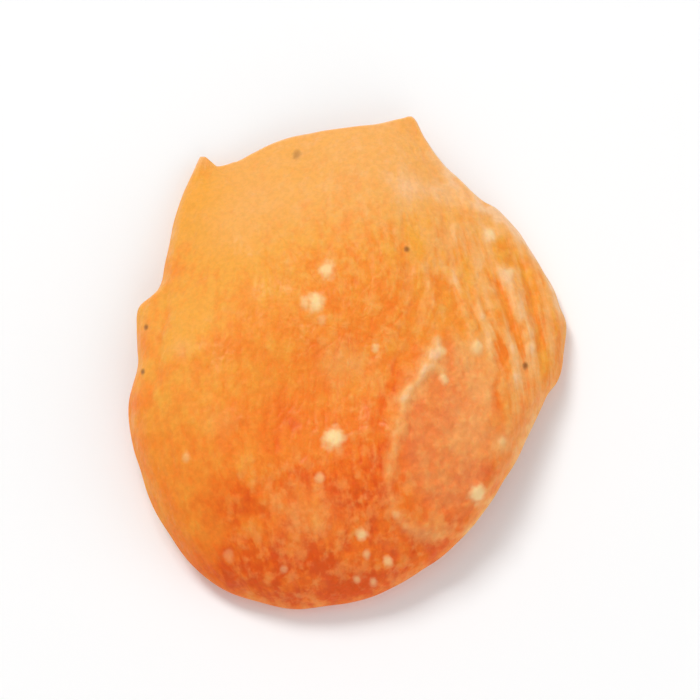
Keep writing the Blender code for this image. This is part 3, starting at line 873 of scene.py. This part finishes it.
class Nodes:
    """Adds nodes to a tree and wires them, so that a material reads as a list of steps."""

    def __init__(self, tree: bpy.types.NodeTree) -> None:
        """Args: tree: what the nodes are added to."""
        self.tree = tree

    def add(self, kind: str, inputs: dict[Any, Any] | None = None, **settings: Any) -> bpy.types.Node:
        """Args: kind: the node's type; inputs: socket to value or link; settings. Returns: the node."""
        node = self.tree.nodes.new(kind)
        for name, value in settings.items():
            setattr(node, name, value)
        for name, value in (inputs or {}).items():
            if isinstance(value, bpy.types.NodeSocket):
                self.tree.links.new(value, node.inputs[name])
            else:
                node.inputs[name].default_value = value
        return node

    def math(self, operation: str, first: Any, second: Any = 0.0) -> bpy.types.NodeSocket:
        """Args: operation; first, second: numbers or links. Returns: the result."""
        return self.add("ShaderNodeMath", {0: first, 1: second}, operation=operation).outputs[0]

    def vector(self, operation: str, first: Any, second: Any) -> bpy.types.NodeSocket:
        """Args: operation; first, second: vectors or links. Returns: the result, a number for DISTANCE."""
        node = self.add("ShaderNodeVectorMath", {0: first, 1: second}, operation=operation)
        return node.outputs["Value" if operation == "DISTANCE" else "Vector"]

    def between(self, value: Any, low: float, high: float, start: float = 0.0, end: float = 1.0) -> Any:
        """Args: value; low, high: its range; start, end: the result's. Returns: a smooth rise."""
        inputs = {"Value": value, "From Min": low, "From Max": high, "To Min": start, "To Max": end}
        return self.add("ShaderNodeMapRange", inputs, interpolation_type="SMOOTHSTEP").outputs["Result"]

    def blend(self, share: Any, first: Any, second: Any, how: str = "MIX") -> bpy.types.NodeSocket:
        """Args: share; first, second: colours; how: the blend. Returns: the mixed colour."""
        node = self.add("ShaderNodeMix", {0: share, 6: first, 7: second}, data_type="RGBA", blend_type=how)
        return node.outputs[2]

    def noise(self, place: Any, grain: float, detail: float = 2.0, roughness: float = 0.5) -> Any:
        """Args: place; grain: its features' size; detail; roughness. Returns: about 0.3 to 0.7."""
        inputs = {"Vector": place, "Scale": 1 / grain, "Detail": detail, "Roughness": roughness}
        return self.add("ShaderNodeTexNoise", inputs).outputs[0]

    def cloud(self, place: Any, grain: float) -> bpy.types.NodeSocket:
        """Args: place: millimetres; grain: its features' size. Returns: a vector of three unlike noises."""
        inputs = {"Vector": place, "Scale": 1 / grain, "Detail": 1.0}
        return self.add("ShaderNodeTexNoise", inputs).outputs["Color"]

    def field(self, field: Field) -> bpy.types.NodeSocket:
        """Args: field: which of the mesh's values. Returns: the value."""
        node = self.add("ShaderNodeAttribute", attribute_name=field.value, attribute_type="GEOMETRY")
        return node.outputs["Fac"]


def new_group(name: str, inputs: dict[str, str], outputs: dict[str, str]) -> bpy.types.NodeTree:
    """Args: name; inputs, outputs: socket name to socket type. Returns: an empty node group."""
    group = bpy.data.node_groups.new(name, "ShaderNodeTree")
    for direction, sockets in (("INPUT", inputs), ("OUTPUT", outputs)):
        for socket, kind in sockets.items():
            group.interface.new_socket(name=socket, in_out=direction, socket_type=kind)
    return group


def dots_group(name: str, dots: Sequence[Patch]) -> bpy.types.NodeTree:
    """Makes a group that marks round spots with slightly uneven edges.

    Args:
        name: the group's name.
        dots: where each is; reach is how much it shows, and amount its radius.

    Returns:
        The group, from a place in millimetres to a mask.
    """
    group = new_group(name, {"Place": "NodeSocketVector"}, {"Mask": "NodeSocketFloat"})
    nodes = Nodes(group)
    place = nodes.add("NodeGroupInput").outputs["Place"]
    ragged = nodes.between(nodes.noise(place, 0.9, 2.0), 0.25, 0.75, -0.22, 0.22)
    flat = nodes.vector("MULTIPLY", place, (1, 1 / SPECK_LENGTH, 0))
    mask: Any = 0.0
    for dot in dots:
        middle = (dot.x, dot.y / SPECK_LENGTH, 0)
        away = nodes.math("DIVIDE", nodes.vector("DISTANCE", flat, middle), dot.amount)
        shown = nodes.between(nodes.math("ADD", away, ragged), 1.25, 0.2, 0.0, dot.reach)
        mask = nodes.math("MAXIMUM", mask, shown)
    nodes.add("NodeGroupOutput", {"Mask": mask})
    return group


def grain_group() -> bpy.types.NodeTree:
    """Makes the skin's grain: pores, mottling and fibres that follow the flow from end to end.

    Returns:
        The group, from a place and the flow in millimetres to signed changes (Tone, Streaks), a height, and
        shares of light, gloss, flecks and spots.
    """
    names = ("Tone", "Light", "Height", "Gloss", "Fleck", "Spots", "Streaks")
    outputs = {name: "NodeSocketFloat" for name in names}
    group = new_group("skin_grain", {"Place": "NodeSocketVector", "Flow": "NodeSocketFloat"}, outputs)
    nodes = Nodes(group)
    source = nodes.add("NodeGroupInput")
    place, flow = source.outputs["Place"], source.outputs["Flow"]
    along = nodes.add("ShaderNodeSeparateXYZ", {0: place}).outputs["Y"]
    drawn_out = nodes.math("MULTIPLY", along, 0.16)
    streak_place = nodes.add("ShaderNodeCombineXYZ", {"X": flow, "Y": drawn_out}).outputs[0]

    drawn = nodes.vector("MULTIPLY", place, (1, 0.7, 1))
    broad = nodes.between(nodes.noise(place, 4.2), 0.25, 0.75, -0.12, 0.12)
    mottle = nodes.between(nodes.noise(drawn, 1.5, 3.0, 0.6), 0.25, 0.75, -0.16, 0.13)
    streaks = nodes.between(nodes.noise(streak_place, 0.6, 2.0), 0.25, 0.75, -0.06, 0.06)
    tone = nodes.math("ADD", nodes.math("ADD", broad, mottle), streaks)
    pale_streaks = nodes.between(nodes.noise(streak_place, 0.85, 3.0, 0.6), 0.36, 0.66, -0.26, 0.46)

    fine = nodes.noise(place, 0.42, 3.0, 0.65)
    light = nodes.between(fine, 0.3, 0.7)
    shift = nodes.vector("MULTIPLY", nodes.cloud(place, 0.8), (0.5, 0.5, 0.5))
    warped = nodes.vector("ADD", place, shift)
    cells = nodes.add("ShaderNodeTexVoronoi", {"Vector": warped, "Scale": 1 / 0.85}, feature="F1")
    shown = nodes.between(nodes.noise(place, 1.3, 1.0), 0.40, 0.60)
    dots = nodes.math("MULTIPLY", nodes.between(cells.outputs["Distance"], 0.60, 0.05), shown)
    patches = nodes.between(nodes.noise(drawn, 1.15, 3.0, 0.60), 0.34, 0.74)
    fleck = nodes.math("ADD", nodes.math("MULTIPLY", dots, 0.50), nodes.math("MULTIPLY", patches, 0.85))
    height = nodes.math("ADD", nodes.math("MULTIPLY", fine, 0.5), nodes.math("MULTIPLY", fleck, 0.9))
    wide_cells = nodes.add("ShaderNodeTexVoronoi", {"Vector": warped, "Scale": 1 / 1.7}, feature="F1")
    spots = nodes.between(wide_cells.outputs["Distance"], 0.26, 0.08)
    gloss = nodes.between(nodes.noise(place, 2.3, 3.0, 0.6), 0.48, 0.68)
    marks = {"Fleck": fleck, "Spots": spots, "Streaks": pale_streaks}
    nodes.add("NodeGroupOutput", {"Tone": tone, "Light": light, "Height": height, "Gloss": gloss, **marks})
    return group


@dataclass(frozen=True)
class FleshFinish:
    """The colours and gloss of the fruit, as linear light.

    Attributes:
        tones: (tone, colour) from the yellowest to the reddest.
        pale: the thin rims, paler skin and crests; on the crests it is partly painted highlight.
        palest_and_highlight: the palest of them, paler skin, which on the oval's lip and the pleats' crests is
            a painted highlight.
        oval: the duller skin that has sunk in.
        cut: the flesh of the cut side.
        speck, dot: the cream specks and the dark dots.
    """

    tones: tuple[tuple[float, Colour], ...] = (
        (0.00, (0.92, 0.386, 0.048, 1)),
        (0.25, (0.93, 0.312, 0.034, 1)),
        (0.50, (0.93, 0.242, 0.022, 1)),
        (0.75, (0.90, 0.174, 0.012, 1)),
        (1.00, (0.78, 0.092, 0.005, 1)),
    )
    pale: Colour = (0.95, 0.465, 0.150, 1)
    palest_and_highlight: Colour = (0.98, 0.56, 0.28, 1)
    oval: Colour = (0.87, 0.280, 0.095, 1)
    cut: Colour = (0.62, 0.16, 0.020, 1)
    speck: Colour = (1.0, 0.70, 0.33, 1)
    dot: Colour = (0.22, 0.07, 0.015, 1)
    subsurface: float = 0.22
    subsurface_radius: tuple[float, float, float] = (1.0, 0.32, 0.10)
    subsurface_scale: float = 0.9 * MM
    specular: float = 0.30
    specular_tint: Colour = (1.0, 0.80, 0.60, 1)
    coat_roughness: float = 0.32
    bump: float = 0.07 * MM

    def material(self) -> bpy.types.Material:
        """Returns: the fruit's material."""
        material = bpy.data.materials.new("apricot_skin")
        material.use_nodes = True
        nodes = Nodes(material.node_tree)
        links = material.node_tree.links
        shader = material.node_tree.nodes["Principled BSDF"]
        place = nodes.add("ShaderNodeTexCoord").outputs["Object"]
        millimetres = nodes.vector("MULTIPLY", place, (1 / MM, 1 / MM, 1 / MM))

        grain = nodes.add("ShaderNodeGroup", node_tree=grain_group())
        links.new(millimetres, grain.inputs["Place"])
        links.new(nodes.field(Field.FLOW), grain.inputs["Flow"])
        specks = nodes.add("ShaderNodeGroup", node_tree=dots_group("cream_specks", SPECKS))
        laid_inputs = {"X": nodes.field(Field.ACROSS), "Y": nodes.field(Field.ALONG)}
        laid = nodes.add("ShaderNodeCombineXYZ", laid_inputs).outputs[0]
        links.new(laid, specks.inputs["Place"])
        dots = nodes.add("ShaderNodeGroup", node_tree=dots_group("dark_dots", DOTS))
        links.new(laid, dots.inputs["Place"])

        crest = nodes.field(Field.CREST)
        tone = nodes.math("ADD", nodes.field(Field.TONE), grain.outputs["Tone"])
        # Crests of the fine relief are painted yellower and its creases redder: painted light and shade on the
        # wrinkles.
        tone = nodes.math("SUBTRACT", tone, nodes.math("MULTIPLY", crest, 0.12))
        flecks = nodes.math("MULTIPLY", grain.outputs["Fleck"], nodes.field(Field.GRAINY))
        tone = nodes.math("ADD", tone, nodes.between(flecks, 0.0, 1.0, 0.07, -0.10))
        ramp = nodes.add("ShaderNodeValToRGB", {"Fac": tone})
        stops = ramp.color_ramp.elements
        while len(stops) < len(self.tones):
            stops.new(0.5)
        for stop, (position, colour) in zip(stops, self.tones):
            stop.position = position
            stop.color = colour

        # The crests of the fine relief are also painted paler: a painted highlight.
        pale = nodes.math("ADD", nodes.field(Field.PALE), nodes.between(crest, 0.1, 1.0, 0.0, 0.22))
        pale = nodes.math("ADD", pale, nodes.between(flecks, 0.0, 1.0, -0.05, 0.24))
        spots = nodes.math("MULTIPLY", grain.outputs["Spots"], nodes.field(Field.SPOTTED))
        pale = nodes.math("ADD", pale, nodes.math("MULTIPLY", spots, 0.16))
        streaks = nodes.math("MULTIPLY", grain.outputs["Streaks"], nodes.field(Field.STREAKED))
        pale = nodes.math("ADD", pale, streaks)
        pale = nodes.math("MAXIMUM", pale, 0.0)
        sunk = nodes.math("MULTIPLY", nodes.field(Field.OVAL), 0.5)
        colour = nodes.blend(sunk, ramp.outputs["Color"], self.oval)
        colour = nodes.blend(nodes.math("MINIMUM", pale, 0.9), colour, self.pale)
        # The palest places turn a whiter pink: paler skin, and on the oval's lip and the crests a painted
        # highlight.
        colour = nodes.blend(nodes.between(pale, 0.7, 1.7), colour, self.palest_and_highlight)
        freckles = nodes.between(grain.outputs["Light"], 0.0, 1.0, 0.96, 1.035)
        shades = nodes.add("ShaderNodeCombineColor", {0: freckles, 1: freckles, 2: freckles}).outputs[0]
        colour = nodes.blend(1.0, colour, shades, "MULTIPLY")
        colour = nodes.blend(nodes.field(Field.CUT), colour, nodes.blend(0.5, colour, self.cut))
        on_skin = nodes.math("SUBTRACT", 1.0, nodes.field(Field.CUT))
        colour = nodes.blend(nodes.math("MULTIPLY", specks.outputs["Mask"], on_skin), colour, self.speck)
        colour = nodes.blend(nodes.math("MULTIPLY", dots.outputs["Mask"], on_skin), colour, self.dot)

        roughness = nodes.between(grain.outputs["Gloss"], 0.0, 1.0, 0.54, 0.42)
        links.new(nodes.math("MULTIPLY", grain.outputs["Gloss"], 0.12), shader.inputs["Coat Weight"])
        bump_inputs = {"Strength": 1.0, "Distance": self.bump, "Height": grain.outputs["Height"]}
        bump = nodes.add("ShaderNodeBump", bump_inputs)
        links.new(colour, shader.inputs["Base Color"])
        links.new(roughness, shader.inputs["Roughness"])
        links.new(bump.outputs["Normal"], shader.inputs["Normal"])
        shader.inputs["Subsurface Weight"].default_value = self.subsurface
        shader.inputs["Subsurface Radius"].default_value = self.subsurface_radius
        shader.inputs["Subsurface Scale"].default_value = self.subsurface_scale
        shader.inputs["Specular IOR Level"].default_value = self.specular
        shader.inputs["Specular Tint"].default_value = self.specular_tint
        shader.inputs["Coat Roughness"].default_value = self.coat_roughness
        shader.inputs["IOR"].default_value = 1.45
        return material


@dataclass
class Fruit:
    """The dried apricot half."""

    name: str = "apricot_half"
    finish: FleshFinish = FleshFinish()

    def build(self) -> bpy.types.Object:
        """Makes the fruit where the CAD solid is, on the body that the solid rides on.

        Returns:
            The fruit's object.
        """
        mesh = bmesh.new()
        bmesh.ops.create_uvsphere(mesh, u_segments=SEGMENTS, v_segments=SKIN_RINGS + FLESH_RINGS, radius=1.0)
        surface = Surface.from_ball(np.array([vertex.co for vertex in mesh.verts]))
        places = settled(np.stack((surface.x, surface.y, surface.heights()), axis=1)) * MM
        low, high = (np.array(corner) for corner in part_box(NODE))
        places += np.array(((low[0] + high[0]) / 2, (low[1] + high[1]) / 2, low[2]))
        for vertex, place in zip(mesh.verts, places):
            vertex.co = Vector(place)
        data = bpy.data.meshes.new(self.name)
        mesh.to_mesh(data)
        mesh.free()
        data.shade_smooth()
        for field, values in surface.fields().items():
            attribute = data.attributes.new(field.value, "FLOAT", "POINT")
            attribute.data.foreach_set("value", values.astype(np.float32))
        data.materials.append(self.finish.material())
        fruit = bpy.data.objects.new(self.name, data)
        bpy.context.scene.collection.objects.link(fruit)
        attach(fruit, BODY)
        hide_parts(NODE)
        LOG.info("%s has %d faces", self.name, len(data.polygons))
        return fruit


class LampKind(str, Enum):
    """How a lamp shines."""

    AREA = "AREA"
    SUN = "SUN"


@dataclass(frozen=True)
class Lamp:
    """A soft light that looks at the fruit.

    Attributes:
        name: its name.
        kind: a square close by, or a wide sun.
        place: where it is, in metres; for a sun only its direction counts.
        size: the square's side in metres, or the sun's width in degrees.
        power: in watts, or for a sun in watts a square metre.
    """

    name: str
    kind: LampKind
    place: tuple[float, float, float]
    size: float
    power: float

    def add(self) -> None:
        """Adds the light to the scene."""
        data = bpy.data.lights.new(self.name, self.kind.value)
        if self.kind is LampKind.SUN:
            data.angle = math.radians(self.size)
        else:
            data.size = self.size
        data.energy = self.power
        lamp = bpy.data.objects.new(self.name, data)
        lamp.location = self.place
        lamp.rotation_euler = (-Vector(self.place)).to_track_quat("-Z", "Y").to_euler()
        bpy.context.scene.collection.objects.link(lamp)


@dataclass(frozen=True)
class Studio:
    """The white table, the light and the camera.

    Attributes:
        lamps: the lights.
        sky: strength of the even white light from all round. It looks full white where the camera sees it.
        elevation: the camera's height over the horizon, in degrees.
        lens: in millimetres.
        view: height of what the picture shows at the fruit, in metres.
        aim: what the camera looks at.
    """

    lamps: tuple[Lamp, ...] = (
        Lamp("key", LampKind.SUN, (-0.15, 0.20, 0.26), 18.0, 1.40),
        Lamp("glint", LampKind.AREA, (-0.06, 0.20, 0.30), 0.05, 0.12),
        Lamp("front", LampKind.SUN, (0.10, -0.32, 0.20), 42.0, 0.57),
        Lamp("side", LampKind.SUN, (0.34, -0.04, 0.20), 41.0, 0.37),
    )
    sky: float = 0.46
    elevation: float = 70.0
    lens: float = 110.0
    view: float = 0.058
    aim: tuple[float, float, float] = (0.0, 0.0, 0.003)

    def build(self) -> None:
        """Adds the table, the light and the camera, and sets the view transform."""
        self._table()
        for lamp in self.lamps:
            lamp.add()
        world = bpy.data.worlds.new("white_room")
        world.use_nodes = True
        nodes = Nodes(world.node_tree)
        camera_ray = nodes.add("ShaderNodeLightPath").outputs["Is Camera Ray"]
        seen = nodes.math("MULTIPLY", camera_ray, 1 - self.sky)
        background = world.node_tree.nodes["Background"]
        background.inputs["Color"].default_value = (1, 1, 1, 1)
        world.node_tree.links.new(nodes.math("ADD", seen, self.sky), background.inputs["Strength"])
        bpy.context.scene.world = world
        bpy.context.scene.view_settings.view_transform = "Standard"
        self._camera()

    def _table(self) -> None:
        """Adds the table, which is no part of the fruit."""
        mesh = bmesh.new()
        bmesh.ops.create_grid(mesh, x_segments=1, y_segments=1, size=1.5)
        data = bpy.data.meshes.new("table")
        mesh.to_mesh(data)
        mesh.free()
        material = bpy.data.materials.new("white_table")
        material.use_nodes = True
        shader = material.node_tree.nodes["Principled BSDF"]
        shader.inputs["Base Color"].default_value = (0.99, 0.99, 0.99, 1)
        shader.inputs["Roughness"].default_value = 0.8
        shader.inputs["Specular IOR Level"].default_value = 0.0
        data.materials.append(material)
        table = bpy.data.objects.new("table", data)
        bpy.context.scene.collection.objects.link(table)

    def _camera(self) -> None:
        """Adds the camera, in front of the fruit and above it."""
        data = bpy.data.cameras.new("camera")
        data.lens = self.lens
        data.sensor_width = 36.0
        data.clip_start = 0.01
        distance = self.view * self.lens / data.sensor_width
        slope = math.radians(self.elevation)
        towards = Vector((0, -math.cos(slope), math.sin(slope)))
        camera = bpy.data.objects.new("camera", data)
        camera.location = Vector(self.aim) + towards * distance
        camera.rotation_euler = (-towards).to_track_quat("-Z", "Y").to_euler()
        bpy.context.scene.collection.objects.link(camera)
        bpy.context.scene.camera = camera


def main() -> None:
    """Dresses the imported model."""
    logging.basicConfig(level=logging.INFO)
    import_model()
    Fruit().build()
    Studio().build()


if __name__ == "__main__":
    main()
